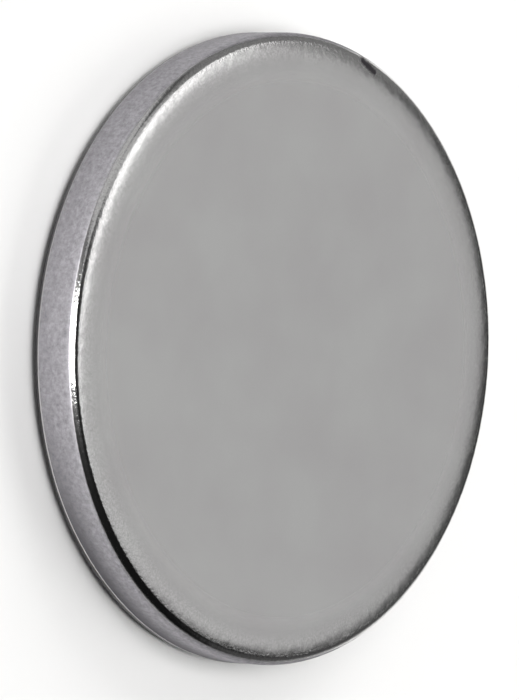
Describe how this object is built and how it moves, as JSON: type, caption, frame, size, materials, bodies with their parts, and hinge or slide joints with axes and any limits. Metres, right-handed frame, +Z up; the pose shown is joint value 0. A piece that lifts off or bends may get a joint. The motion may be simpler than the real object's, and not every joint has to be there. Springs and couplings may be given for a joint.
{
  "type": "disc magnet",
  "caption": "Thin round plated magnet disc with flat pole faces and rolled-over edges, for holding paper or sitting in a round pocket.",
  "frame": {"origin": "centre of the pole face that the disc lies on", "axes": "+Z up along the disc's axis, out of the other pole face; -Y is the side of the rim that the picture shows nearest"},
  "size_m": [0.022, 0.022, 0.002],
  "materials": {
    "nickel_plate": "satin"
  },
  "bodies": {
    "root": {"magnet_disc": "nickel_plate"}
  },
  "joints": []
}
